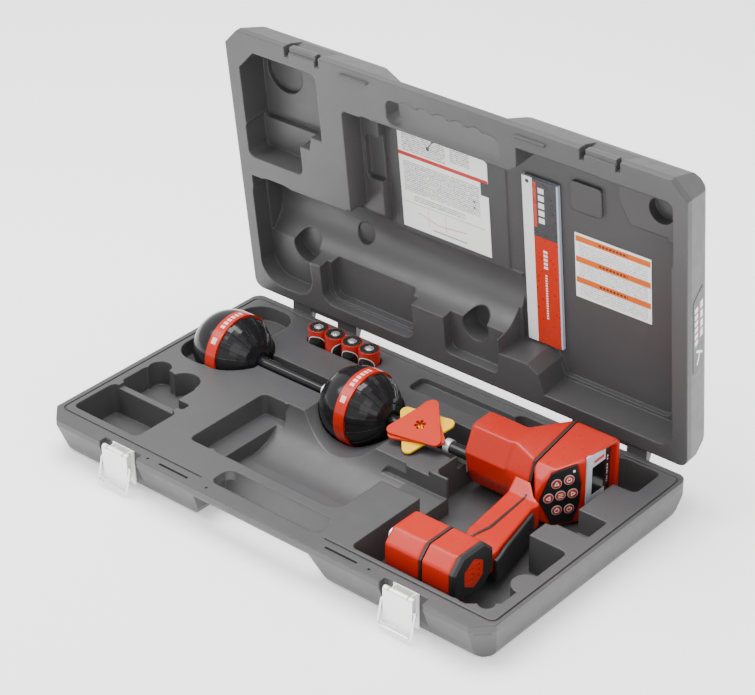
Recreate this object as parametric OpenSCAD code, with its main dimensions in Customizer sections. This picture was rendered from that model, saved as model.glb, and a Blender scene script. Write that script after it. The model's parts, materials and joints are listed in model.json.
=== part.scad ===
// Carry case with a two-ball antenna mast, pistol-grip console, loose cells and flag markers.
// Millimetres. X runs along the case, the handle and latches face -Y, the hinge is at +Y.
// All heights below are measured from the parting plane of the case.

/* [Case] */
// length of the case along X
case_length = 640; // [560:5:720]
// width of the case along Y, without latches
case_width = 360; // [320:5:400]
// depth of the lower half
base_depth = 50; // [48:1:60]
// depth of the upper half
lid_depth = 50; // [48:1:60]
// height of the straight band at the parting plane
band_height = 8; // [6:1:12]
// how far the side walls lean in at the bottom
wall_draft = 14; // [8:1:18]
// how far the lid stands open in degrees
lid_open = 84; // [0:1:96]

/* [Hinges and latches] */
// knuckle radius of the hinge
knuckle_radius = 5.2; // [4.6:0.1:5.4]
// hinge rod radius
hinge_rod_radius = 2; // [1.6:0.1:2.4]
// radius of the latch wire
wire_radius = 1.5; // [1:0.1:1.8]
// width of the latch lever plate
lever_width = 39.5; // [36:0.5:40]
// lean of the hanging latch loop in degrees
bail_lean = 14; // [12:1:18]

/* [Locator] */
// height of the mast axis along Y from the case centre line
mast_y = 62.7; // [60:0.1:66]
// radius of the mast tube
mast_radius = 7; // [6:0.1:7.4]
// radius of both antenna balls
pod_radius = 47; // [44:0.5:47]
// length of the ribbed cone on each ball
cone_length = 33; // [28:1:34]
// number of ribs on each cone
cone_ribs = 14; // [10:1:18]
// radius of the keypad keys
key_radius = 6; // [5:0.1:6.2]

/* [Loose items] */
// radius of a battery cell
cell_radius = 13.1; // [12.8:0.1:13.1]
// length of a battery cell with its raised contact
cell_length = 50; // [48:0.5:50]
// side of a flag marker
marker_side = 68; // [60:1:70]
// thickness of a flag marker
marker_thick = 2.5; // [2:0.1:2.6]

/* [Hidden] */
$fn = 64;
P = base_depth;
L2 = case_length / 2;
W2 = case_width / 2;
hinge_y = W2 + 5.8;
hinge_z = 8.9;
latch_x = [-200, 212];
lever_y = -184;
pivot_y = -182;
pivot_z = -1.4;
ear_radius = 1.7;
bail_y = -183.5;
bail_z = -15;
bail_length = 29.7;
gap = 0.05;
cell_y = 144.5;
cell_bottom = -30.5;
cell_x = [-187.5, -160.9, -134.3, -107.7];
key_az = -32;
key_origin = [230, 70, -4];

grey = [0.30, 0.30, 0.31];
red = [0.82, 0.12, 0.07];
black = [0.04, 0.04, 0.045];
steel = [0.82, 0.82, 0.82];

// ---------- helpers ----------
module rrect(x0, x1, y0, y1, r) {
  translate([x0 + r, y0]) square([x1 - x0 - 2 * r, y1 - y0]);
  translate([x0, y0 + r]) square([x1 - x0, y1 - y0 - 2 * r]);
  for (x = [x0 + r, x1 - r], y = [y0 + r, y1 - r]) translate([x, y]) circle(r);
}
module slab(z0, z1) translate([0, 0, z0]) linear_extrude(z1 - z0) children();
module well(x0, x1, y0, y1, r, floor) slab(floor, 1) rrect(x0, x1, y0, y1, r);
module box(x0, x1, y0, y1, z0, z1) translate([x0, y0, z0]) cube([x1 - x0, y1 - y0, z1 - z0]);
// profile drawn in Y and Z, extruded along X from x0 to x1
module along_x(x0, x1) translate([x0, 0, 0]) rotate([90, 0, 90]) linear_extrude(x1 - x0) children();
// profile drawn in X and Z, extruded along Y from y0 to y1
module along_y(y0, y1) translate([0, y1, 0]) rotate([90, 0, 0]) linear_extrude(y1 - y0) children();
module rod_x(x0, x1, y, z, r) translate([x0, y, z]) rotate([0, 90, 0]) cylinder(h = x1 - x0, r = r);

// outer form of one case half, opening plane at z = 0, body below
module half_body(depth) {
  difference() {
    intersection() {
      along_y(-W2 - 2, W2 + 2) polygon([[-L2, 0], [L2, 0], [L2, -band_height],
        [L2 - 6.2, 10 - depth], [L2 - 8.2, 4.5 - depth], [L2 - 11.5, 1.2 - depth], [L2 - 16, -depth],
        [16 - L2, -depth], [11.5 - L2, 1.2 - depth], [8.2 - L2, 4.5 - depth],
        [6.2 - L2, 10 - depth], [-L2, -band_height]]);
      along_x(-L2 - 2, L2 + 2) polygon([[-W2, 0], [W2, 0], [W2, -band_height],
        [W2 - wall_draft + 3, 10 - depth], [W2 - wall_draft, 4 - depth], [W2 - wall_draft - 5, -depth],
        [wall_draft + 7 - W2, -depth], [wall_draft + 1 - W2, 4 - depth],
        [wall_draft - 2 - W2, 10 - depth], [-W2, -band_height]]);
      slab(-depth - 1, 1) {
        polygon([[-L2, 20 - W2], [20 - L2, -W2], [L2 - 20, -W2], [L2, 20 - W2],
          [L2, W2 - 12], [L2 - 12, W2], [12 - L2, W2], [-L2, W2 - 12]]);
        for (x = [12 - L2, L2 - 12]) translate([x, W2 - 12]) circle(12);
      }
    }
    for (s = [-1, 1]) translate([s * (L2 - 10), 10 - W2, -band_height]) rotate([0, 0, s * 45])
      rotate([18, 0, 0]) translate([-60, -60, -80]) cube([120, 60, 80]);
  }
}
module lid_pose() translate([0, 0, P]) translate([0, hinge_y, hinge_z]) rotate([-lid_open, 0, 0])
  translate([0, -hinge_y, -hinge_z]) children();
module up() translate([0, 0, P]) children();

// ---------- case ----------
module hinge_lug(x0, x1) {
  rod_x(x0, x1, hinge_y, hinge_z, knuckle_radius);
  along_x(x0, x1) polygon([[170, -24], [180.4, -4], [180.6, hinge_z], [191, hinge_z],
    [190.6, 2], [184, -16], [177, -26]]);
}
module hinge_arm(x0, x1) {
  rod_x(x0, x1, hinge_y, hinge_z, knuckle_radius);
  along_x(x0, x1) polygon([[173, 3.7], [hinge_y, 3.7], [hinge_y, 14.1], [173, 14.1]]);
}
// hugging pocket for an antenna ball: round at the left, tapered to end_r at the right
module ball_pocket(x, end_r) translate([x, mast_y, 0]) rotate([0, 90, 0]) rotate_extrude($fn = 96)
  polygon([for (a = [0:10:90]) [48.4 * sin(a), -48.4 * cos(a)], [48.4, 15],
    [46.8, 21.5], [42.6, 29], [36, 37], [27, 45], [end_r, 51], [0, 51]]);
module base_wells() {
  // accessory compartment at the left end
  well(-306, -203, -148, -82, 8, -40);
  slab(-46, 0) intersection() { rrect(-306, -203, -148, -82, 8); translate([-264, -148]) circle(26); }
  box(-298, -211, -83, -73, -5, 1);
  slab(-32, 1) {
    rrect(-303, -222, -74, -30, 6);
    rrect(-240, -203, -74, -61, 4);
    translate([-289, -24]) circle(14);
    translate([-245, -30]) circle(20.5);
    translate([-272, -34]) circle(12);
  }
  // storage bin with a scooped rear wall
  intersection() {
    slab(-60, 1) rrect(-127, 66, -112, 16, 18);
    union() { along_x(-130, 70) polygon([[-112, 2], [-110, -46], [-40, -46], [-40, 2]]);
      rod_x(-130, 70, -40, 8, 55); }
  }
  slab(-27, 1) rrect(-155, -118, -112, 13, 8);
  slab(-26, 1) rrect(30, 126, -38, 9, 8);
  // lower antenna ball
  intersection() {
    ball_pocket(-254, 17);
    box(-310, -200, 0, 120, -47.6, 1);
  }
  slab(-20, 1) rrect(-306, -236, 12, 165, 28);
  // middle antenna ball and the saddle in front of it
  intersection() {
    ball_pocket(-52, 20);
    box(-120, 20, 0, 125, -47.6, 1);
  }
  intersection() {
    translate([-38, 0, 38]) rotate([90, 0, 0]) translate([0, 0, -60]) cylinder(h = 80, r = 68);
    box(-110, 40, 0, 60, -40, 1);
  }
  well(-208, -90, 53.4, 83, 8, -20);
  well(-5, 112, 52, 80, 8, -18);
  well(5, 105, 66, 105, 10, -30);
  well(-5, 98, 9, 60, 4, -6);
  well(-36, 108, 128, 158, 8, -8);
  // cells
  well(-202, -93, 130.5, 158.5, 13.9, cell_bottom - 0.4);
  // console
  well(100, 264, 12, 166, 10, -47.6);
  well(240, 293, 118, 168, 8, -47.6);
  well(225, 302, 18, 55, 5, -30);
  // battery box and handle
  slab(-47.6, 1) {
    difference() {
      union() {
        rrect(120, 302, -152, -16, 8);
        rrect(120, 252, -40, 40, 8);
      }
      polygon([[310, -122], [264, -160], [310, -160]]);
      translate([302, -86.5]) circle(17);
      translate([262, -160]) circle(9);
    }
  }
  slab(-28, 1) translate([290, -138]) circle(9);
}
module base_shell() color(grey) up() difference() {
  union() {
    half_body(base_depth);
    hinge_lug(-262, -232); hinge_lug(-189.4, -160);
    hinge_lug(162, 190); hinge_lug(237.6, 264);
  }
  base_wells();
  // seating groove, open at the handle
  difference() {
    slab(-2, 1) difference() { rrect(-314, 316, -159.5, 173, 9); rrect(-312, 314, -157.5, 171, 7); }
    box(-90, 90, -170, -150, -3, 2);
  }
  // finger opening and the recess under the grip bar
  slab(-60, 1) rrect(-78, 79, -158, -127, 10);
  along_y(-190, -127) polygon([[-84, -12], [84, -12], [104, -60], [-112, -60], [-108, -50],
    [-99, -48.5], [-91, -43], [-86, -34]]);
  // latch notches, alignment slots and vent dots
  for (x = latch_x) box(x - 29, x + 29, -190, -170, -60, 1);
  for (x = [-162, -72, 161]) translate([x, -170, -3]) cylinder(h = 4, r = 1.6, $fn = 24);
  for (x = [-144.5, 100.5]) box(x, x + 44, -171.2, -168, -4, 1);
  // recess in the chamfered corners
  for (s = [-1, 1]) translate([s * 310, -170, -22.5]) rotate([0, 0, s * 45])
    cube([17, 4, 27], center = true);
  // rod bore
  rod_x(-270, -150, hinge_y, hinge_z, hinge_rod_radius + gap);
  rod_x(150, 270, hinge_y, hinge_z, hinge_rod_radius + gap);
}
module lid_wells() {
  // pockets over the accessory compartment
  slab(-1, 40) difference() {
    rrect(-302, -181, -157, -52, 9);
    polygon([[-310, -124], [-278, -156], [-278, -170], [-310, -170]]);
    polygon([[-198, -70], [-170, -70], [-170, -40], [-205, -40]]);
  }
  slab(-1, 46.5) intersection() { rrect(-302, -181, -157, -82, 9); translate([-268, -116]) circle(27); }
  box(-302, -196, -78, -72, 30, 34);
  slab(-1, 32) rrect(-303, -217, -60, -12, 9);
  // long round channel over the mast and the antenna balls
  rod_x(-303, 84, mast_y, 0, 48.3);
  slab(-1, 24) rrect(-305, -222, 12, 166, 30);
  slab(-1, 40) translate([-247, 112]) circle(21);
  slab(-1, 49.3) translate([-168, 74]) circle(13.5);
  // panel for the printed sheet, with a stepped slot at its left
  slab(-1, 45) rrect(-104, 62, -123.5, 44, 6);
  slab(-1, 30) { rrect(-146, -96, -122, 30, 7); translate([-152, 12]) square(12); }
  slab(-1, 38) rrect(-142, -112, -80, -22, 6);
  slab(-1, 44) rrect(-120, -100, -124, 40, 5);
  // over the cells and behind the mast
  slab(-1, 14) rrect(-206, -64, 98, 163, 16);
  slab(-1, 24) rrect(-201, -70, 104, 160, 12);
  slab(-1, 40) translate([20, 118]) circle(19);
  slab(-1, 14) rrect(-16, 62, 104, 160, 8);
  // large cavity over console and handle
  slab(-1, 46.8) difference() {
    rrect(68, 276, -150, 158, 16);
    polygon([[40, -170], [102, -170], [102, -130], [92, -122], [40, -122]]);
    polygon([[30, 131], [104, 128], [119, 138], [128, 158], [30, 170]]);
    polygon([[214, -160], [214, -112], [228, -86], [290, -86], [290, -160]]);
  }
  slab(-1, 41) difference() {
    rrect(64, 300, -154, 162, 20);
    polygon([[40, -170], [102, -170], [102, -130], [92, -122], [40, -122]]);
    polygon([[30, 131], [104, 128], [119, 138], [128, 165], [30, 170]]);
    polygon([[208, -160], [208, -112], [226, -82], [310, -82], [310, -160]]);
  }
  slab(-1, 46.8) polygon([[50, -120], [75, -120], [75, 44], [50, 44]]);
  slab(-1, 30) rrect(200, 302, -153, -70, 9);
  slab(-1, 42) translate([268, -117]) circle(16);
}
module lid_shell() color(grey) lid_pose() difference() {
  union() {
    difference() {
      translate([0, 0, 0.3]) mirror([0, 0, 1]) half_body(lid_depth - 0.3);
      lid_wells();
      // space for the hinge knuckles of the base
      for (x = [[-262.6, -231.7], [-190.1, -159.4], [161.4, 190.3], [236.9, 264.6]])
        rod_x(x[0], x[1], hinge_y, hinge_z, 6.4);
    }
    hinge_arm(-231.4, -190); hinge_arm(190.6, 236.6);
    for (x = [-142.5, 102.5]) box(x, x + 40, -170.6, -168.6, -2.6, 1);
    // low square boss above the battery box
    slab(42.5, 48) rrect(141, 182, -106, -69, 5);
  }
  // grip half and the scallops on its inner edge
  slab(-1, 60) rrect(-78, 79, -158, -127, 10);
  slab(-1, 12.2) for (i = [-2:2]) translate([i * 24, -148.5]) circle(13);
  along_y(-190, -127) polygon([[-63, 12.3], [84, 12.3], [92, 60], [-136, 60]]);
  // latch slots and the recess above each tongue
  for (x = latch_x) {
    for (s = [-1, 1]) translate([x + s * 22.75, 0, 0]) box(-3.25, 3.25, -190, -167, -1, 14);
    box(x - 28, x + 28, -190, -170, 12, 60);
    box(x - 26, x + 26, -190, -174, -1, 2.6);
  }
  rod_x(-270, -150, hinge_y, hinge_z, hinge_rod_radius + 0.08);
  rod_x(150, 270, hinge_y, hinge_z, hinge_rod_radius + 0.08);
}
module hinge_rod(x0, x1) color(steel) up() rod_x(x0, x1, hinge_y, hinge_z, hinge_rod_radius);
module hinge_pin_left() hinge_rod(-262, -160);
module hinge_pin_right() hinge_rod(162, 264);

// ---------- latches ----------
module bracket(x) color(steel) up() {
  difference() {
    union() {
      box(x - 17, x + 17, -171.2, -170.05, -44, 0.2);
      for (s = [-1, 1]) {
        box(x + s * 12.75 - 0.75, x + s * 12.75 + 0.75, pivot_y, -170.6, pivot_z - 1.4, pivot_z + 1);
        rod_x(x + s * 12.75 - 0.75, x + s * 12.75 + 0.75, pivot_y, pivot_z, ear_radius);
      }
    }
    rod_x(x - 30, x + 30, pivot_y, pivot_z, 1.26);
  }
  for (s = [-1, 1], z = [-16, -36]) translate([x + s * 9, -171.1, z]) rotate([90, 0, 0])
    cylinder(h = 1.6, r = 2.6);
}
module latch_bracket_left() bracket(latch_x[0]);
module latch_bracket_right() bracket(latch_x[1]);
module lever(x) color(steel) up() {
  h = lever_width / 2;
  difference() {
    union() {
      box(x - h, x + h, lever_y - 1.4, lever_y, -43, pivot_z);
      rod_x(x - h, x + h, pivot_y, pivot_z, 3.3);
      for (s = [-1, 1]) translate([x + s * (h - 0.7) - 0.7, 0, 0]) along_x(0, 1.4)
        polygon([[lever_y - 0.5, -1], [-180.4, -1.5], [-179.6, -8], [-180.2, -19], [lever_y - 0.5, -41]]);
      box(x - h, x + h, lever_y - 2.6, lever_y - 1, -43, -41.6);
    }
    // room for the bracket ears in the rolled top edge
    for (s = [-1, 1]) difference() {
      box(x + s * 12.75 - 1.2, x + s * 12.75 + 1.2, -190, -177, -6, 3);
      box(x - 20, x + 20, lever_y - 2, lever_y, -7, pivot_z - 0.1);
    }
    rod_x(x - 30, x + 30, bail_y, bail_z, wire_radius + 0.06);
  }
  rod_x(x - h + 0.6, x + h - 0.6, pivot_y, pivot_z, 1.2);
}
module latch_lever_left() lever(latch_x[0]);
module latch_lever_right() lever(latch_x[1]);
module bail(x) color(steel) up() translate([x, bail_y, bail_z]) rotate([-bail_lean, 0, 0]) {
  r = wire_radius;
  for (s = [-1, 1]) {
    translate([s * 22.3, 0, 4 - bail_length]) cylinder(h = bail_length - 4, r = r, $fn = 24);
    translate([s * 22.3, 0, 0]) sphere(r, $fn = 24);
    translate([s * 22.3, 0, 0]) rotate([0, -s * 90, 0]) cylinder(h = 5.6, r = r, $fn = 24);
    translate([s * 18.3, 0, 4 - bail_length]) rotate([90, s > 0 ? 0 : 90, 0])
      rotate_extrude(angle = -90) translate([4, 0]) circle(r, $fn = 24);
  }
  rod_x(-18.3, 18.3, 0, -bail_length, r);
}
module latch_bail_left() bail(latch_x[0]);
module latch_bail_right() bail(latch_x[1]);

// ---------- paper items in the lid ----------
module instruction_sheet() color([0.93, 0.93, 0.92]) lid_pose() difference() {
  box(-104, 25, -96, 38, 44.2, 44.95);
  box(14, 30, -60, -42, 40, 50);
}
module warning_label() color([0.95, 0.93, 0.88]) lid_pose() box(142, 243, -38, 46, 46.2, 46.75);
module lid_side_decal() color(black) lid_pose() intersection() {
  along_x(315, 321) polygon([[-30, 12], [61, 12], [65, 20], [55, 43], [-36, 43], [-40, 36]]);
  mirror([0, 0, 1]) translate([0.5, 0, 0]) difference() {
    half_body(lid_depth); translate([-0.32, 0, 0]) half_body(lid_depth);
  }
}
module booklet_cover() color([0.9, 0.9, 0.9]) lid_pose() {
  box(76, 122, -92, 126, 41.2, 41.7);
  box(76, 76.6, -92, 126, 41.7, 46);
}
module booklet_pages() color([0.85, 0.85, 0.83]) lid_pose() box(76.65, 124.5, -91, 125, 41.75, 46);

// ---------- locator ----------
module mast_tube() color(black) up() difference() {
  rod_x(-250, 120, mast_y, 0, mast_radius);
  rod_x(-251, -242, mast_y, 0, mast_radius - 2);
}
module collar(x0, x1) color([0.75, 0.76, 0.78]) up() difference() {
  rod_x(x0, x1, mast_y, 0, mast_radius + 1.2);
  rod_x(x0 - 1, x1 + 1, mast_y, 0, mast_radius + gap);
}
module mast_collar_left() collar(-105.5, -99.5);
module mast_collar_right() collar(76, 84);
module dome(x) color(black) up() difference() {
  intersection() {
    translate([x, mast_y, 0]) sphere(pod_radius, $fn = 96);
    box(x - 60, x - gap, 0, 120, -60, 60);
  }
  rod_x(x - 60, x + 1, mast_y, 0, mast_radius + gap);
}
module lower_pod_dome() color(black) up() intersection() {
  translate([-254, mast_y, 0]) sphere(pod_radius, $fn = 96);
  difference() {
    box(-314, -254 - gap, 0, 120, -60, 60);
    rod_x(-250.1, -240, mast_y, 0, mast_radius);
  }
}
module middle_pod_dome() dome(-52);
module band(x0, x1) color(red) up() difference() {
  rod_x(x0, x1, mast_y, 0, pod_radius);
  rod_x(x0 - 1, x1 + 1, mast_y, 0, mast_radius + gap);
}
module lower_pod_band() band(-254, -239);
module middle_pod_band() band(-52, -37);
module cone_form(grow) rotate([0, 90, 0]) rotate_extrude($fn = 96) polygon([[0, 0],
  [pod_radius - 3 + grow, 0], [pod_radius - 4.5 + grow, 6], [pod_radius - 8.5 + grow, 13],
  [pod_radius - 15 + grow, 20.5], [pod_radius - 24 + grow, 28], [12 + grow, cone_length],
  [0, cone_length]]);
module cone(x) color(black) up() translate([x + gap, mast_y, 0]) difference() {
  union() {
    cone_form(0);
    intersection() {
      cone_form(1.6);
      for (i = [0:cone_ribs - 1]) rotate([i * 360 / cone_ribs, 0, 0])
        translate([0, -3.2, 12]) cube([cone_length - 3, 6.4, 50]);
    }
  }
  rod_x(-1, cone_length + 1, 0, 0, mast_radius + gap);
}
module lower_pod_cone() cone(-239);
module middle_pod_cone() cone(-37);

// console: a neck that flares to a seam ring, then the head with hood, keypad and display
module neck_section(x0, x1, grow) along_x(x0, x1) polygon([[66 - grow, 39], [100 + grow, 40],
  [110 + grow, 26], [112 + grow, -16], [104 + grow, -38], [68, -38], [56 - grow, -14], [52 - grow, 10]]);
module ring_section(x0, x1, g) along_x(x0, x1) polygon([[64 - g, 29.5 + g], [137 + g, 45 + g / 3],
  [143 + g, 38], [143 + g, -32], [134 + g, -44 - g], [66 - g, -44 - g], [53 - g, -20],
  [56 - g, 8]]);
module console_neck() color(red) up() difference() {
  union() {
    hull() { neck_section(111, 165, 0); neck_section(108, 168, -3); }
    hull() { neck_section(160, 167, -2); ring_section(195.2, 196.4, 0); }
  }
  rod_x(100, 121, mast_y, 0, mast_radius + gap);
}
module console_seam() color(black) up() ring_section(196.5, 199.5, 0.4);
module head_plan() slab(-60, 60) polygon([[199.6, 160], [199.6, 60], [214, 44], [243.4, 91],
  [254.5, 141], [250, 150]]);
module head_body() intersection() {
  head_plan();
  along_x(190, 270) polygon([[64, 29.5], [137, 45.2], [145, 38], [145, -34], [136, -44], [62, -44],
    [46, -30], [40, -4], [52, 18]]);
}
module keypad_frame() up() translate(key_origin) rotate([0, 0, key_az]) rotate([90, 0, 90]) children();
module keypad_outline(g) polygon([[-12 - g, 30 + g], [17 + g, 36 + g], [22.5 + g, 10], [21 + g, -14],
  [14 + g, -37 - g], [-11 - g, -37 - g], [-26 - g, -3]]);
module console_head() color(red) difference() {
  up() difference() {
    head_body();
    box(243, 262, 95, 137.5, -24, 37);
  }
  keypad_frame() translate([0, 0, -2]) linear_extrude(6) keypad_outline(0.1);
}
module arm_plan() slab(-60, 60) polygon([[178, 55.7], [184, 22], [193, -46], [204.2, -71.7], [240.6, -71.7],
  [241.5, -58], [222, 28], [224, 39.7], [213, 43.5], [199, 55.7]]);
module handle_arm() color(red) up() intersection() {
  arm_plan();
  along_x(170, 250) polygon([[56, 8], [38, -3], [-49, -1], [-71.7, -3], [-71.7, -26], [-45, -30],
    [34, -34], [52.9, -20]]);
}
module handle_grip() color(black) up() intersection() {
  slab(-60, 60) polygon([[188, 22], [197, -46], [208, -66], [248, -66], [247, -58], [227, 26]]);
  difference() {
    along_x(170, 250) polygon([[30, -6], [-44, -5], [-66, -8], [-66, -36], [-45, -38], [26, -41]]);
    intersection() {
      translate([0.1, 0, 0]) arm_keepout();
      along_x(170, 251) polygon([[56, 8.1], [38, -2.9], [-49, -0.9], [-71.7, -2.9], [-72, -26.1],
        [-45, -30.1], [34, -34.1], [53, -20.1]]);
    }
  }
}
module arm_keepout() slab(-60, 60) polygon([[170, 56], [170, 22], [170, -72], [243, -72],
  [242.05, -58], [222.05, 28], [224.05, 40]]);
module octagon(g, c) polygon([[-137 - g, -14], [-137 - g, 26 + g - c], [-137 - g + c, 26 + g],
  [-72 + g - c, 26 + g], [-72 + g, 26 + g - c], [-72 + g, -28 - g + c], [-72 + g - c, -28 - g],
  [-137 - g + c, -28 - g]]);
module battery_box_front() color(red) up() {
  hull() { along_x(155, 200.4) octagon(0, 14); along_x(153, 200.4) octagon(-2.5, 13); }
}
module battery_box_seam() color(black) up() {
  along_x(200.5, 203.5) octagon(0.3, 14);
  intersection() {
    slab(-3.6, -0.3) polygon([[202, 46], [204, 46], [212, -30], [203.5, -71.75], [201, -71.75],
      [208.5, -30]]);
    difference() {
      along_x(190, 220) polygon([[44, 2], [38, -2.3], [-49, -0.3], [-72, -2.3], [-72, -4], [44, -4]]);
      along_x(190, 220) polygon([[56, 7.9], [38, -2.95], [-49, -0.95], [-71.7, -2.95], [-71.7, -9],
        [56, -9]]);
    }
  }
}
module battery_box_rear() color(red) up() along_x(203.6, 241) octagon(0.2, 14);
module speaker_surround() color(black) up() difference() {
  hull() { along_x(241.1, 245) octagon(0.8, 15); along_x(241.1, 247.5) octagon(-2, 14); }
  translate([245, -104.5, -2]) rotate([0, 90, 0]) rotate([0, 0, 0]) cylinder(h = 5, r = 18.1, $fn = 6);
}
module speaker_grille() color(red) up() difference() {
  translate([245.1, -104.5, -2]) rotate([0, 90, 0]) cylinder(h = 2, r = 17.9, $fn = 6);
  for (z = [-9, -2, 5], s = [-1, 1]) box(246, 248, -104.5 + s * 5.5 - 4, -104.5 + s * 5.5 + 4,
    z - 1.2, z + 1.2);
}
module battery_cap() color([0.78, 0.78, 0.78]) up() difference() {
  rod_x(143, 152.6, -110, 4, 8);
  box(142, 144.2, -118, -102, 3.2, 4.8);
}
module keypad_panel() color(black) keypad_frame() difference() {
  translate([0, 0, -1.9]) linear_extrude(2.6) keypad_outline(0);
  for (k = keys) translate([k[0], k[1], -1]) cylinder(h = 3, r = key_radius + 0.35);
  translate([13.5, 28.5, -1]) cylinder(h = 3, r = 1.7, $fn = 24);
}
keys = [[-6.5, 16], [8, 18.5], [-15.5, -1], [-1.6, 0], [12.6, 0], [-5.5, -18.5], [9, -19.5]];
module key(i) color(red) keypad_frame() translate([keys[i][0], keys[i][1], 0.2]) {
  cylinder(h = 1, r = key_radius);
  translate([0, 0, 0.95]) cylinder(h = 0.5, r = key_radius - 0.8);
}
module key_up() key(0);
module key_sound() key(1);
module key_left() key(2);
module key_select() key(3);
module key_right() key(4);
module key_down() key(5);
module key_menu() key(6);
module status_light() color([0.9, 0.9, 0.9]) keypad_frame() translate([13.5, 28.5, -0.9])
  cylinder(h = 2, r = 1.6, $fn = 24);
module display_bezel() color([0.7, 0.75, 0.8]) up() difference() {
  box(243.1, 245.5, 95.1, 137.4, -23.9, 36.9);
  box(244.5, 246, 104, 128, -16, 20);
}
module display_screen() color([0.02, 0.02, 0.02]) up() box(244.6, 245.2, 104.1, 127.9, -15.9, 19.9);

// ---------- loose items ----------
module cell(i) color([0.75, 0.1, 0.08]) up() translate([cell_x[i], cell_y, cell_bottom])
  cylinder(h = cell_length - 2.5, r = cell_radius);
module nub(i) color(steel) up() translate([cell_x[i], cell_y, cell_bottom + cell_length - 2.45]) {
  cylinder(h = 0.7, r = cell_radius - 1.6);
  translate([0, 0, 0.65]) cylinder(h = 1.75, r = 3.3);
}
module battery_cell_1() cell(0);
module battery_cell_2() cell(1);
module battery_cell_3() cell(2);
module battery_cell_4() cell(3);
module cell_terminal_1() nub(0);
module cell_terminal_2() nub(1);
module cell_terminal_3() nub(2);
module cell_terminal_4() nub(3);
module marker(turn, hole) {
  r = 7;
  h = (marker_side / 2 - r) / cos(30);
  rotate([0, 0, turn]) linear_extrude(marker_thick) difference() {
    polygon([for (i = [0:2], a = [-60:15:60])
      [h * cos(i * 120) + r * cos(i * 120 + a), h * sin(i * 120) + r * sin(i * 120 + a)]]);
    if (hole == 1) {
      circle(3.4, $fn = 24);
      for (i = [0:5]) rotate(i * 60) translate([5, 0]) circle(1.9, $fn = 24);
    } else translate([-h * 0.9, 0]) circle(2, $fn = 24);
  }
}
// the stack leans with its rear edge up against the mast
module marker_seat(lift) up() translate([41.7, 58.1, 13.3]) rotate([19, 3, 0]) translate([0, 0, lift])
  children();
module marker_upper() color([0.88, 0.25, 0.14]) marker_seat(0) marker(101, 1);
module marker_lower() color([0.85, 0.28, 0.16]) marker_seat(-marker_thick - 0.3) marker(110, 1);
module marker_plate() color([0.95, 0.78, 0.05]) marker_seat(-2 * marker_thick - 0.6) marker(41, 2);

// ---------- what is drawn ----------
base_shell();
lid_shell();
hinge_pin_left();
hinge_pin_right();
latch_bracket_left();
latch_bracket_right();
latch_lever_left();
latch_lever_right();
latch_bail_left();
latch_bail_right();
instruction_sheet();
warning_label();
lid_side_decal();
booklet_cover();
booklet_pages();
mast_tube();
mast_collar_left();
mast_collar_right();
lower_pod_dome();
lower_pod_band();
lower_pod_cone();
middle_pod_dome();
middle_pod_band();
middle_pod_cone();
console_neck();
console_seam();
console_head();
handle_arm();
handle_grip();
battery_box_front();
battery_box_seam();
battery_box_rear();
speaker_surround();
speaker_grille();
battery_cap();
keypad_panel();
key_up();
key_sound();
key_left();
key_select();
key_right();
key_down();
key_menu();
status_light();
display_bezel();
display_screen();
battery_cell_1();
battery_cell_2();
battery_cell_3();
battery_cell_4();
cell_terminal_1();
cell_terminal_2();
cell_terminal_3();
cell_terminal_4();
marker_plate();
marker_lower();
marker_upper();
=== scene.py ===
"""Looks for the drain-line locator kit in its open carry case. Metres, row frame."""

import json
import math

import bpy
from mathutils import Matrix, Vector


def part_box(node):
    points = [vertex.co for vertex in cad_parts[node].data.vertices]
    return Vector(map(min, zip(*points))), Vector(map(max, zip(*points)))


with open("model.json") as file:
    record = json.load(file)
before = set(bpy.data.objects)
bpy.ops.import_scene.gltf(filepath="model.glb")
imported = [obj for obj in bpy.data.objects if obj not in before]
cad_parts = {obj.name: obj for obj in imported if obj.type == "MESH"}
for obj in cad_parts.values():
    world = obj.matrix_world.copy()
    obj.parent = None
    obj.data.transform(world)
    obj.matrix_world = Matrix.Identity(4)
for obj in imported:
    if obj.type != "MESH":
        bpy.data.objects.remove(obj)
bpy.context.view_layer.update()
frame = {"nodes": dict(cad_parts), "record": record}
nodes = frame["nodes"]
record = frame["record"]
joints = {j["name"]: j for j in record["behaviour"]["joints"]}

# height of the parting plane between the case halves
BASE_TOP = 0.050
# the middle of a noise texture's range, where nearly all of its values lie
NOISE_LOW = 0.3
NOISE_HIGH = 0.7
BLACK = (0.012, 0.012, 0.013)
RED = (0.46, 0.014, 0.004)


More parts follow.
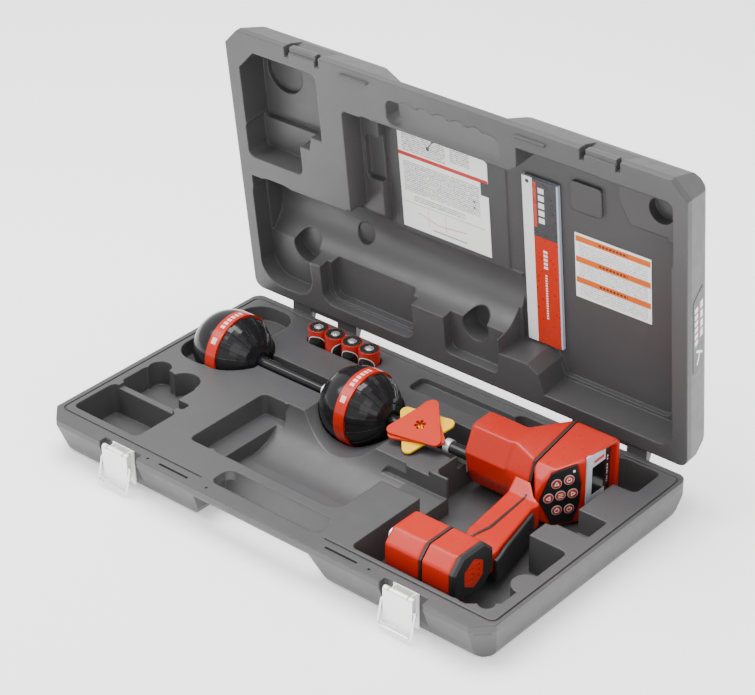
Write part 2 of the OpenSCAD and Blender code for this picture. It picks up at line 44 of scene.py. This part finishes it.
# ---------- node material helpers ----------
class Net:
    """A node material built from short calls. Every value is a socket or a number."""

    def __init__(self, name):
        self.mat = bpy.data.materials.new(name)
        self.mat.use_nodes = True
        self.tree = self.mat.node_tree
        self.tree.nodes.clear()
        self.out = self.add("ShaderNodeOutputMaterial")
        self.bsdf = self.add("ShaderNodeBsdfPrincipled")
        self.link(self.bsdf.outputs[0], self.out.inputs["Surface"])
        self.obj = self.add("ShaderNodeTexCoord").outputs["Object"]

    def add(self, kind, **props):
        node = self.tree.nodes.new(kind)
        for key, value in props.items():
            setattr(node, key, value)
        return node

    def link(self, a, b):
        self.tree.links.new(a, b)

    def put(self, socket, value):
        if isinstance(value, bpy.types.NodeSocket):
            self.link(value, socket)
        else:
            socket.default_value = value

    def m(self, op, a, b=0.0, c=None):
        node = self.add("ShaderNodeMath", operation=op)
        self.put(node.inputs[0], a)
        self.put(node.inputs[1], b)
        if c is not None:
            self.put(node.inputs[2], c)
        return node.outputs[0]

    def xyz(self, vector):
        node = self.add("ShaderNodeSeparateXYZ")
        self.link(vector, node.inputs[0])
        return node.outputs[0], node.outputs[1], node.outputs[2]

    def vec(self, x, y, z):
        node = self.add("ShaderNodeCombineXYZ")
        for socket, value in zip(node.inputs, (x, y, z)):
            self.put(socket, value)
        return node.outputs[0]

    def moved(self, angle_axis, location, vector=None):
        node = self.add("ShaderNodeMapping")
        self.link(vector or self.obj, node.inputs["Vector"])
        node.inputs["Rotation"].default_value = angle_axis
        node.inputs["Location"].default_value = location
        return node.outputs[0]

    def noise(self, vector, scale, detail=3.0, rough=0.5):
        node = self.add("ShaderNodeTexNoise")
        self.link(vector, node.inputs["Vector"])
        node.inputs["Scale"].default_value = scale
        node.inputs["Detail"].default_value = detail
        node.inputs["Roughness"].default_value = rough
        return node.outputs["Fac"]

    def ramp(self, fac, lo, hi, a, b):
        """Maps fac from lo..hi onto a..b, clamped."""
        node = self.add("ShaderNodeMapRange")
        self.put(node.inputs["Value"], fac)
        for key, value in (("From Min", lo), ("From Max", hi), ("To Min", a), ("To Max", b)):
            node.inputs[key].default_value = value
        return node.outputs["Result"]

    def vary(self, fac, lo, hi):
        """Spreads a noise value over lo..hi."""
        return self.ramp(fac, NOISE_LOW, NOISE_HIGH, lo, hi)

    def mottle(self, fac, a, b):
        """Mixes two colours by a noise value."""
        return self.mix(self.vary(fac, 0.0, 1.0), a, b)

    def mix(self, fac, a, b):
        node = self.add("ShaderNodeMix", data_type="RGBA")
        self.put(node.inputs[0], fac)
        for socket, value in ((node.inputs[6], a), (node.inputs[7], b)):
            self.put(socket, value if isinstance(value, bpy.types.NodeSocket) else (*value, 1.0))
        return node.outputs[2]

    def inside(self, u, v, u0, u1, v0, v1):
        """1 inside the rectangle, 0 outside."""
        parts = [self.m("GREATER_THAN", u, u0), self.m("LESS_THAN", u, u1),
                 self.m("GREATER_THAN", v, v0), self.m("LESS_THAN", v, v1)]
        total = parts[0]
        for part in parts[1:]:
            total = self.m("MULTIPLY", total, part)
        return total

    def disc(self, u, v, cu, cv, r):
        du, dv = self.m("SUBTRACT", u, cu), self.m("SUBTRACT", v, cv)
        d = self.m("SQRT", self.m("ADD", self.m("MULTIPLY", du, du), self.m("MULTIPLY", dv, dv)))
        return self.m("LESS_THAN", d, r)

    def stroke(self, u, v, a, b, width):
        """1 within width/2 of the line from a to b."""
        ax, ay = a
        dx, dy = b[0] - ax, b[1] - ay
        length = math.hypot(dx, dy)
        ux, uy = dx / length, dy / length
        du, dv = self.m("SUBTRACT", u, ax), self.m("SUBTRACT", v, ay)
        along = self.m("ADD", self.m("MULTIPLY", du, ux), self.m("MULTIPLY", dv, uy))
        side = self.m("SUBTRACT", self.m("MULTIPLY", dv, ux), self.m("MULTIPLY", du, uy))
        across = self.m("ABSOLUTE", side)
        hit = self.m("LESS_THAN", across, width / 2)
        hit = self.m("MULTIPLY", hit, self.m("GREATER_THAN", along, 0.0))
        return self.m("MULTIPLY", hit, self.m("LESS_THAN", along, length))

    def lines_of_print(self, u, v, pitch, fill=0.55, scale=900.0, density=0.5):
        """Rows of small marks that read as print: rows along u, stacked along v."""
        row = self.m("FLOOR", self.m("DIVIDE", v, pitch))
        part = self.m("FRACT", self.m("DIVIDE", v, pitch))
        grain = self.noise(self.vec(self.m("MULTIPLY", u, scale), self.m("MULTIPLY", row, 7.31),
                                    self.m("MULTIPLY", v, scale * 0.8)), 1.0, 1.0)
        return self.m("MULTIPLY", self.m("LESS_THAN", part, fill), self.m("GREATER_THAN", grain, density))

    def dashes(self, u, v, box, pitch, fill=0.6):
        """A row of equal bars along v, inside box = (u0, u1, v0, v1)."""
        part = self.m("FRACT", self.m("DIVIDE", self.m("SUBTRACT", v, box[2]), pitch))
        return self.m("MULTIPLY", self.inside(u, v, *box), self.m("LESS_THAN", part, fill))

    def either(self, *masks):
        total = masks[0]
        for mask in masks[1:]:
            total = self.m("MAXIMUM", total, mask)
        return total

    def finish(self, color, rough, bevel=0.0, bump=0.0, bump_scale=900.0, **sockets):
        """Sets colour and roughness, softens edges by bevel metres and adds a fine bump."""
        if not isinstance(color, bpy.types.NodeSocket):
            color = (*color, 1.0)
        self.put(self.bsdf.inputs["Base Color"], color)
        self.put(self.bsdf.inputs["Roughness"], rough)
        for key, value in sockets.items():
            self.bsdf.inputs[key.replace("_", " ")].default_value = value
        normal = None
        if bevel:
            edge = self.add("ShaderNodeBevel", samples=6)
            edge.inputs["Radius"].default_value = bevel
            normal = edge.outputs[0]
        if bump:
            node = self.add("ShaderNodeBump")
            node.inputs["Strength"].default_value = bump
            node.inputs["Distance"].default_value = 0.0002
            self.link(self.noise(self.obj, bump_scale, 2.0), node.inputs["Height"])
            if normal:
                self.link(normal, node.inputs["Normal"])
            normal = node.outputs[0]
        if normal:
            self.link(normal, self.bsdf.inputs["Normal"])
        return self.mat


def scaled(color, factor):
    return tuple(min(1.0, c * factor) for c in color)


def plain(name, color, rough, wear=0.12, bevel=0.0006, bump=0.05, bump_scale=900.0, **sockets):
    """One moulded or metal finish: slow colour drift, uneven gloss and softened edges."""
    net = Net(name)
    drift = net.noise(net.obj, 9.0, 4.0)
    fine = net.noise(net.obj, 70.0, 3.0)
    shade = net.mottle(drift, scaled(color, 1 - wear), scaled(color, 1 + wear))
    gloss = net.vary(fine, rough * 0.88, min(1.0, rough * 1.12))
    return net.finish(shade, gloss, bevel, bump, bump_scale, **sockets)


def coat(material, *names):
    """Gives the named CAD nodes one material."""
    for name in names:
        nodes[name].data.materials.clear()
        nodes[name].data.materials.append(material)


def round_off(name, voxel, passes):
    """Softens a moulded CAD piece the way its mould corners are soft."""
    obj = nodes[name]
    mesh = obj.modifiers.new("remesh", "REMESH")
    mesh.mode = "VOXEL"
    mesh.voxel_size = voxel
    mesh.use_smooth_shade = True
    soft = obj.modifiers.new("soft", "SMOOTH")
    soft.factor = 0.5
    soft.iterations = passes


# ---------- closed-lid coordinates, so print can be laid out along the lid ----------
hinge = joints["lid_hinge"]
hinge_pos = Vector(hinge["pos_m"])
open_angle = math.radians(-hinge["range_deg"][0])
turn_back = Matrix.Rotation(open_angle, 3, "X")
lid_shift = hinge_pos - turn_back @ hinge_pos


def lid_uv(net):
    """Coordinates in the shut lid: along the case, across it, and up."""
    return net.xyz(net.moved((open_angle, 0, 0), lid_shift))


# ---------- case ----------
CASE = (0.062, 0.061, 0.063)
SCUFF_PLACE = (3.1, 0.2, 1.4)


def case_material(name):
    """Grained grey moulding with rounded edges and pale scuffs."""
    net = Net(name)
    drift = net.noise(net.obj, 5.0, 4.0)
    scuff = net.noise(net.moved((0, 0, 0), SCUFF_PLACE), 60.0, 5.0, 0.6)
    shade = net.mottle(drift, scaled(CASE, 0.92), scaled(CASE, 1.08))
    shade = net.mix(net.ramp(scuff, 0.62, 0.78, 0.0, 0.25), shade, scaled(CASE, 1.5))
    return net.finish(shade, net.vary(scuff, 0.36, 0.46), 0.0024, 0.18, 1400.0)


coat(case_material("case_base"), "base_shell")
coat(case_material("case_lid"), "lid_shell")
coat(plain("hinge_steel", (0.45, 0.45, 0.46), 0.35, Metallic=1.0), "hinge_pin_left", "hinge_pin_right")
coat(plain("latch_steel", (0.93, 0.93, 0.92), 0.42, wear=0.04, bevel=0.0005, bump=0.0, Metallic=0.55),
     "latch_bracket_left", "latch_lever_left", "latch_bracket_right", "latch_lever_right")
coat(plain("latch_wire", (0.80, 0.80, 0.80), 0.22, wear=0.05, bevel=0.0, bump=0.0, Metallic=1.0),
     "latch_bail_left", "latch_bail_right")

# ---------- paper in the lid ----------
INK = (0.05, 0.05, 0.06)
PAPER = (0.93, 0.93, 0.92)
WARN = (0.70, 0.13, 0.004)
SHEET_RED = (0.55, 0.015, 0.01)
PALE_PRINT = (0.85, 0.85, 0.85)

# boxes of small print on the sheet, as u0, u1, v0, v1 along and across the lid
SHEET_BLOCKS = [(-0.098, -0.035, -0.092, -0.066), (-0.028, 0.0, -0.090, -0.070),
                (-0.098, 0.012, -0.052, -0.012), (-0.085, -0.010, -0.008, 0.000)]
SHEET_BAR = (-0.104, 0.025, -0.0635, -0.0585)
# red sketch lines and black figure lines on the sheet, as start, end and width
SHEET_SKETCH = [((-0.080, 0.014), (-0.050, 0.022), 0.0009), ((-0.050, 0.022), (-0.010, 0.018), 0.0009),
                ((-0.065, 0.005), (-0.065, 0.028), 0.0006), ((-0.040, 0.005), (-0.040, 0.026), 0.0006)]
SHEET_LINES = [((-0.052, -0.090), (-0.060, -0.078), 0.0014), ((-0.060, 0.031), (-0.010, 0.031), 0.0011),
               ((-0.100, 0.003), (0.018, 0.003), 0.0005)]
# black dots on the sheet, as u, v and radius
SHEET_DOTS = [(-0.052, -0.090, 0.0022), (-0.060, -0.078, 0.0026), (0.004, -0.030, 0.0016),
              (0.004, -0.022, 0.0016)]


def paper_gloss(net, lo, hi):
    return net.vary(net.noise(net.obj, 90.0), lo, hi)


def sheet_material():
    """White sheet with rows of generic print, a red bar and a small sketch."""
    net = Net("sheet_print")
    u, v, _ = lid_uv(net)
    print_rows = net.lines_of_print(u, v, 0.0026, 0.6, 1100.0, 0.46)
    blocks = net.either(*[net.inside(u, v, *box) for box in SHEET_BLOCKS])
    shade = net.mix(net.m("MULTIPLY", print_rows, net.m("MULTIPLY", blocks, 0.8)), PAPER, INK)
    shade = net.mix(net.inside(u, v, *SHEET_BAR), shade, SHEET_RED)
    sketch = net.either(*[net.stroke(u, v, *line) for line in SHEET_SKETCH])
    shade = net.mix(net.m("MULTIPLY", sketch, 0.85), shade, SHEET_RED)
    figure = net.either(*[net.stroke(u, v, *line) for line in SHEET_LINES],
                        *[net.disc(u, v, *dot) for dot in SHEET_DOTS])
    shade = net.mix(figure, shade, INK)
    return net.finish(shade, paper_gloss(net, 0.5, 0.65))


LABEL_PRINT = (0.147, 0.238, -0.026, 0.043)
LABEL_BAR_TOPS = (-0.035, -0.008, 0.019)


def label_material():
    """White label with three orange bars and rows of generic print."""
    net = Net("label_print")
    u, v, _ = lid_uv(net)
    print_rows = net.lines_of_print(u, v, 0.0030, 0.62, 1200.0, 0.5)
    blocks = net.inside(u, v, *LABEL_PRINT)
    shade = net.mix(net.m("MULTIPLY", print_rows, net.m("MULTIPLY", blocks, 0.7)), PAPER, (0.16, 0.19, 0.24))
    for top in LABEL_BAR_TOPS:
        shade = net.mix(net.inside(u, v, 0.143, 0.242, top, top + 0.0075), shade, WARN)
        marks = net.dashes(v, u, (top + 0.0024, top + 0.0052, 0.174, 0.212), 0.0046, 0.7)
        shade = net.mix(marks, shade, (0.10, 0.02, 0.01))
    return net.finish(shade, paper_gloss(net, 0.4, 0.5))


# rows of bars on the side decal: height above the parting plane, extent across the case, pitch, fill
DECAL_ROWS = [((0.016, 0.024), (-0.020, 0.030), 0.0083, 0.72),
              ((0.030, 0.039), (-0.022, 0.026), 0.0120, 0.78)]
DECAL_GLYPH = [((0.036, 0.020), (0.046, 0.036)), ((0.040, 0.030), (0.055, 0.022))]


def decal_material():
    """Black decal with two rows of pale bars, a red line and a plain two-stroke figure."""
    net = Net("decal_print")
    _, v, w = lid_uv(net)
    w = net.m("SUBTRACT", w, BASE_TOP)
    rows = net.either(*[net.dashes(w, v, (*height, *extent), pitch, fill)
                        for height, extent, pitch, fill in DECAL_ROWS])
    shade = net.mix(rows, (0.02, 0.02, 0.022), PALE_PRINT)
    shade = net.mix(net.inside(v, w, -0.024, 0.028, 0.0262, 0.0278), shade, (0.55, 0.04, 0.03))
    glyph = net.either(*[net.stroke(v, w, start, end, 0.003) for start, end in DECAL_GLYPH])
    shade = net.mix(glyph, shade, PALE_PRINT)
    return net.finish(shade, paper_gloss(net, 0.3, 0.4))


# where the pale spine strip of the manual ends and the red cover starts
SPINE_EDGE = 0.090


def booklet_material():
    """Manual cover: pale spine strip, dark top with pale bars, red front with fine bars."""
    net = Net("booklet_print")
    u, v, _ = lid_uv(net)
    shade = net.mix(net.m("GREATER_THAN", u, SPINE_EDGE), (0.80, 0.80, 0.80), (0.52, 0.025, 0.006))
    shade = net.mix(net.inside(u, v, SPINE_EDGE, 0.13, -0.10, -0.018), shade, (0.06, 0.06, 0.065))
    shade = net.mix(net.inside(u, v, 0.091, 0.095, -0.088, -0.030), shade, (0.60, 0.05, 0.03))
    mark = net.dashes(u, v, (0.0975, 0.1055, -0.082, -0.034), 0.0096, 0.72)
    shade = net.mix(mark, shade, (0.80, 0.80, 0.80))
    title = net.either(net.dashes(u, v, (0.1020, 0.1075, -0.002, 0.024), 0.0052, 0.66),
                       net.dashes(u, v, (0.1035, 0.1062, 0.030, 0.090), 0.0034, 0.6))
    shade = net.mix(title, shade, (0.82, 0.78, 0.76))
    punched_hole = net.disc(u, v, 0.083, -0.086, 0.0025)
    shade = net.mix(punched_hole, shade, INK)
    return net.finish(shade, paper_gloss(net, 0.25, 0.35), 0.0004)


def pages_material():
    """Page edges as thin blue-grey leaves."""
    net = Net("page_edges")
    _, _, w = lid_uv(net)
    leaf = net.m("FRACT", net.m("MULTIPLY", w, 1500.0))
    shade = net.mix(net.ramp(leaf, 0.0, 0.7, 0.0, 1.0), (0.24, 0.28, 0.36), (0.50, 0.55, 0.64))
    return net.finish(shade, net.vary(net.noise(net.obj, 300.0), 0.7, 0.85), 0.0, 0.04)


coat(sheet_material(), "instruction_sheet")
coat(label_material(), "warning_label")
coat(decal_material(), "lid_side_decal")
coat(booklet_material(), "booklet_cover")
coat(pages_material(), "booklet_pages")

# ---------- mast and antenna balls ----------
coat(plain("mast_black", BLACK, 0.12, wear=0.2, bevel=0.0, bump=0.0, Specular_IOR_Level=0.3), "mast_tube")
coat(plain("collar_grey", (0.72, 0.74, 0.76), 0.3, bevel=0.0004, Metallic=0.6),
     "mast_collar_left", "mast_collar_right")
coat(plain("pod_black", BLACK, 0.16, wear=0.2, bevel=0.0005, bump=0.0, Specular_IOR_Level=0.26),
     "lower_pod_dome", "middle_pod_dome", "lower_pod_cone", "middle_pod_cone")
mast_low, mast_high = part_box("mast_tube")
MAST_Y = (mast_low[1] + mast_high[1]) / 2
MAST_Z = (mast_low[2] + mast_high[2]) / 2
BAND_RADIUS = 0.047


def band_material(name, node):
    """Red band with a row of pale bars round it and one pale square."""
    low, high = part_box(node)
    middle = (low[0] + high[0]) / 2
    net = Net(name)
    x, y, z = net.xyz(net.obj)
    turned = net.m("ARCTAN2", net.m("SUBTRACT", y, MAST_Y), net.m("SUBTRACT", z, MAST_Z))
    arc = net.m("MULTIPLY", turned, BAND_RADIUS)
    along = net.m("SUBTRACT", x, middle)
    bars = net.dashes(along, arc, (-0.0030, 0.0030, -0.024, 0.012), 0.0062, 0.66)
    square = net.inside(arc, along, -0.046, -0.038, -0.004, 0.003)
    drift = net.noise(net.obj, 20.0)
    shade = net.mottle(drift, scaled(RED, 0.9), scaled(RED, 1.1))
    shade = net.mix(net.either(bars, square), shade, (0.80, 0.50, 0.44))
    return net.finish(shade, net.vary(drift, 0.2, 0.28), 0.0005, Specular_IOR_Level=0.35)


coat(band_material("band_lower", "lower_pod_band"), "lower_pod_band")
coat(band_material("band_middle", "middle_pod_band"), "middle_pod_band")

# ---------- console ----------
HOUSING = ("console_neck", "console_head", "handle_arm", "battery_box_front", "battery_box_rear")
coat(plain("housing_red", RED, 0.30, wear=0.05, bevel=0.0, bump=0.0, Specular_IOR_Level=0.35), *HOUSING)
for housing_part in HOUSING:
    round_off(housing_part, 0.0008, 40)
coat(plain("grille_red", RED, 0.35, bevel=0.0004), "speaker_grille")
coat(plain("joint_black", (0.012, 0.012, 0.012), 0.45, bevel=0.0004),
     "console_seam", "battery_box_seam", "speaker_surround")
coat(plain("grip_rubber", (0.015, 0.015, 0.016), 0.55, bump=0.3, bump_scale=500.0), "handle_grip")
round_off("handle_grip", 0.0007, 24)
coat(plain("knob_silver", (0.72, 0.73, 0.74), 0.3, bevel=0.0005, Metallic=0.9), "battery_cap")
coat(plain("keypad_black", (0.010, 0.010, 0.011), 0.32, wear=0.2, bevel=0.0004), "keypad_panel")
coat(plain("light_clear", (0.75, 0.76, 0.76), 0.15, bevel=0.0003), "status_light")

# direction across the keypad, square to the way its keys travel
press = Vector(joints["key_up_press"]["axis"]).normalized()
ACROSS = Vector((press.y, -press.x, 0))
ARROWS = {"up": (0, 1), "left": (-1, 0), "right": (1, 0)}
ARROW_TIP = 0.0028
ARROW_BACK = 0.0016
ARROW_HALF_WIDTH = 0.0026


def arrow_sign(net, u, v, kind):
    """Outline of a triangle that points the way the key moves the cursor."""
    dx, dy = ARROWS[kind]
    tip = (dx * ARROW_TIP, dy * ARROW_TIP)
    p = (-dx * ARROW_BACK + dy * ARROW_HALF_WIDTH, -dy * ARROW_BACK + dx * ARROW_HALF_WIDTH)
    q = (-dx * ARROW_BACK - dy * ARROW_HALF_WIDTH, -dy * ARROW_BACK - dx * ARROW_HALF_WIDTH)
    return net.either(*[net.stroke(u, v, a, b, 0.0011) for a, b in ((tip, p), (p, q), (q, tip))])


def ring_sign(net, u, v):
    """A ring with a short stroke at its top."""
    ring = net.m("SUBTRACT", net.disc(u, v, 0, 0, 0.0030), net.disc(u, v, 0, 0, 0.0020))
    return net.either(ring, net.stroke(u, v, (0, 0.0005), (0, 0.0036), 0.0010))


def lines_sign(net, u, v):
    """Three short level strokes."""
    return net.either(*[net.stroke(u, v, (-0.0028, k), (0.0028, k), 0.0008) for k in (-0.0022, 0.0, 0.0022)])


def key_material(node, kind):
    """Dark red key with a pale rim and a generic sign."""
    low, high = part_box(node)
    centre = (Vector(low) + Vector(high)) / 2
    net = Net(node + "_print")
    x, y, z = net.xyz(net.obj)
    u = net.m("ADD", net.m("MULTIPLY", net.m("SUBTRACT", x, centre.x), ACROSS.x),
              net.m("MULTIPLY", net.m("SUBTRACT", y, centre.y), ACROSS.y))
    v = net.m("SUBTRACT", z, centre.z)
    if kind in ARROWS:
        sign = arrow_sign(net, u, v, kind)
    elif kind == "lines":
        sign = lines_sign(net, u, v)
    else:
        sign = ring_sign(net, u, v)
    rim = net.m("SUBTRACT", 1.0, net.disc(u, v, 0, 0, 0.0053))
    drift = net.noise(net.obj, 200.0)
    shade = net.mottle(drift, (0.34, 0.022, 0.016), (0.42, 0.03, 0.02))
    shade = net.mix(net.either(sign, net.m("MULTIPLY", rim, 0.6)), shade, (0.78, 0.74, 0.72))
    return net.finish(shade, net.vary(drift, 0.35, 0.45), 0.0003)


KEY_SIGNS = {"key_up": "up", "key_sound": "ring", "key_left": "left", "key_select": "lines",
             "key_right": "right", "key_down": "ring", "key_menu": "ring"}
for key, sign_kind in KEY_SIGNS.items():
    coat(key_material(key, sign_kind), key)


def bezel_material():
    """Silver-blue frame with a red dash, and a black rear edge with small pale marks."""
    low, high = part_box("display_bezel")
    net = Net("bezel_print")
    _, y, z = net.xyz(net.obj)
    shade = net.mottle(net.noise(net.obj, 40.0), (0.50, 0.55, 0.62), (0.62, 0.66, 0.72))
    rear_edge = net.m("GREATER_THAN", y, high[1] - 0.0095)
    shade = net.mix(rear_edge, shade, (0.02, 0.02, 0.022))
    dash = net.inside(y, z, low[1] + 0.012, high[1] - 0.012, high[2] - 0.013, high[2] - 0.009)
    shade = net.mix(dash, shade, (0.60, 0.06, 0.05))
    strip = net.inside(y, z, high[1] - 0.0065, high[1] - 0.0040, low[2] + 0.012, high[2] - 0.014)
    speckle = net.noise(net.vec(0.0, 0.0, net.m("MULTIPLY", z, 700.0)), 1.0, 0.0)
    marks = net.m("MULTIPLY", strip, net.m("GREATER_THAN", speckle, 0.5))
    shade = net.mix(marks, shade, (0.75, 0.75, 0.75))
    return net.finish(shade, net.vary(net.noise(net.obj, 200.0), 0.2, 0.3), 0.0004)


coat(bezel_material(), "display_bezel")
coat(plain("screen_dark", (0.006, 0.007, 0.007), 0.12, wear=0.2, bevel=0.0, bump=0.0), "display_screen")

# ---------- loose items ----------
# how far below the cell's shoulder the arch's centre lies, and the arch's two radii
ARCH_DROP = 0.0185
ARCH_OUTER = 0.0125
ARCH_INNER = 0.0114


def cell_material(index, facing):
    """Red wrap with a black arch in a pale outline, turned by facing from the front."""
    low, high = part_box("battery_cell_%d" % index)
    centre_x = (low[0] + high[0]) / 2
    centre_y = (low[1] + high[1]) / 2
    radius = (high[0] - low[0]) / 2
    net = Net("cell_wrap_%d" % index)
    x, y, z = net.xyz(net.obj)
    turned = net.m("ARCTAN2", net.m("SUBTRACT", x, centre_x), net.m("SUBTRACT", centre_y, y))
    arc = net.m("MULTIPLY", net.m("SUBTRACT", turned, facing), radius)
    arch_z = high[2] - ARCH_DROP
    outer, inner = [net.either(net.disc(arc, z, 0.0, arch_z, r), net.inside(arc, z, -r, r, 0.0, arch_z))
                    for r in (ARCH_OUTER, ARCH_INNER)]
    drift = net.noise(net.obj, 60.0)
    shade = net.mottle(drift, (0.42, 0.012, 0.006), (0.52, 0.020, 0.010))
    shade = net.mix(outer, shade, (0.75, 0.72, 0.68))
    shade = net.mix(inner, shade, (0.015, 0.015, 0.016))
    return net.finish(shade, net.vary(drift, 0.18, 0.26), 0.0008, Coat_Weight=0.3)


def terminal_material(index):
    """Dark end ring round a bright contact."""
    low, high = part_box("cell_terminal_%d" % index)
    centre = ((low[0] + high[0]) / 2, (low[1] + high[1]) / 2)
    net = Net("cell_metal_%d" % index)
    x, y, _ = net.xyz(net.obj)
    drift = net.noise(net.obj, 300.0)
    ring = net.mottle(drift, (0.055, 0.060, 0.055), (0.10, 0.105, 0.10))
    shade = net.mix(net.disc(x, y, *centre, 0.0056), ring, (0.80, 0.82, 0.80))
    return net.finish(shade, net.vary(drift, 0.22, 0.32), 0.0004, Metallic=0.8)


CELL_FACINGS = {1: 0.42, 2: 1.25, 3: 0.35, 4: 0.28}
for number, facing_angle in CELL_FACINGS.items():
    coat(cell_material(number, facing_angle), "battery_cell_%d" % number)
    coat(terminal_material(number), "cell_terminal_%d" % number)

MARKER_FINISH = {"wear": 0.04, "bevel": 0.0004, "bump": 0.0, "Specular_IOR_Level": 0.15}
coat(plain("marker_yellow", (0.86, 0.50, 0.0), 0.55, **MARKER_FINISH), "marker_plate")
coat(plain("marker_red", (0.50, 0.030, 0.010), 0.55, **MARKER_FINISH), "marker_lower", "marker_upper")

# ---------- floor, light, camera ----------
bpy.ops.mesh.primitive_plane_add(size=14, location=(0, 0, -0.0006))
floor = bpy.context.object
floor.name = "floor"
floor_net = Net("floor_pale")
floor_shade = floor_net.mix(floor_net.noise(floor_net.obj, 3.0), (0.955, 0.955, 0.955), (0.97, 0.97, 0.97))
floor.data.materials.append(floor_net.finish(
    floor_shade, 0.9, Emission_Color=(1.0, 1.0, 1.0, 1.0), Emission_Strength=0.5))

world = bpy.data.worlds.new("studio")
bpy.context.scene.world = world
world.use_nodes = True
sky = world.node_tree.nodes["Background"]
sky.inputs["Color"].default_value = (1.0, 1.0, 1.0, 1.0)
sky.inputs["Strength"].default_value = 1.15


def softbox(name, place, aim, size, power):
    lamp = bpy.data.lights.new(name, "AREA")
    lamp.size = size
    lamp.energy = power
    obj = bpy.data.objects.new(name, lamp)
    bpy.context.scene.collection.objects.link(obj)
    obj.location = place
    obj.rotation_euler = (Vector(aim) - Vector(place)).to_track_quat("-Z", "Y").to_euler()


softbox("top_light", (-0.3, 0.15, 2.4), (0, 0, 0.0), 1.5, 85.0)
softbox("key_light", (-1.3, -1.1, 2.0), (0, 0, 0.1), 1.2, 32.0)
softbox("fill_light", (1.9, -1.2, 1.2), (0, 0, 0.1), 1.6, 14.0)

CAMERA_PLACE = (1.43265, -1.63027, 1.47439)
CAMERA_AZIMUTH = 40.718
CAMERA_ELEVATION = 30.886
CAMERA_ROLL = -0.572
camera_data = bpy.data.cameras.new("photo_camera")
camera_data.lens = 110.63
camera_data.sensor_width = 36.0
camera_data.sensor_fit = "HORIZONTAL"
camera_data.clip_end = 50
camera = bpy.data.objects.new("photo_camera", camera_data)
bpy.context.scene.collection.objects.link(camera)
heading = Matrix.Rotation(math.radians(CAMERA_AZIMUTH), 4, "Z")
pitch = Matrix.Rotation(math.radians(90 - CAMERA_ELEVATION), 4, "X")
roll = Matrix.Rotation(math.radians(CAMERA_ROLL), 4, "Z")
camera.matrix_world = Matrix.Translation(CAMERA_PLACE) @ heading @ pitch @ roll
bpy.context.scene.camera = camera
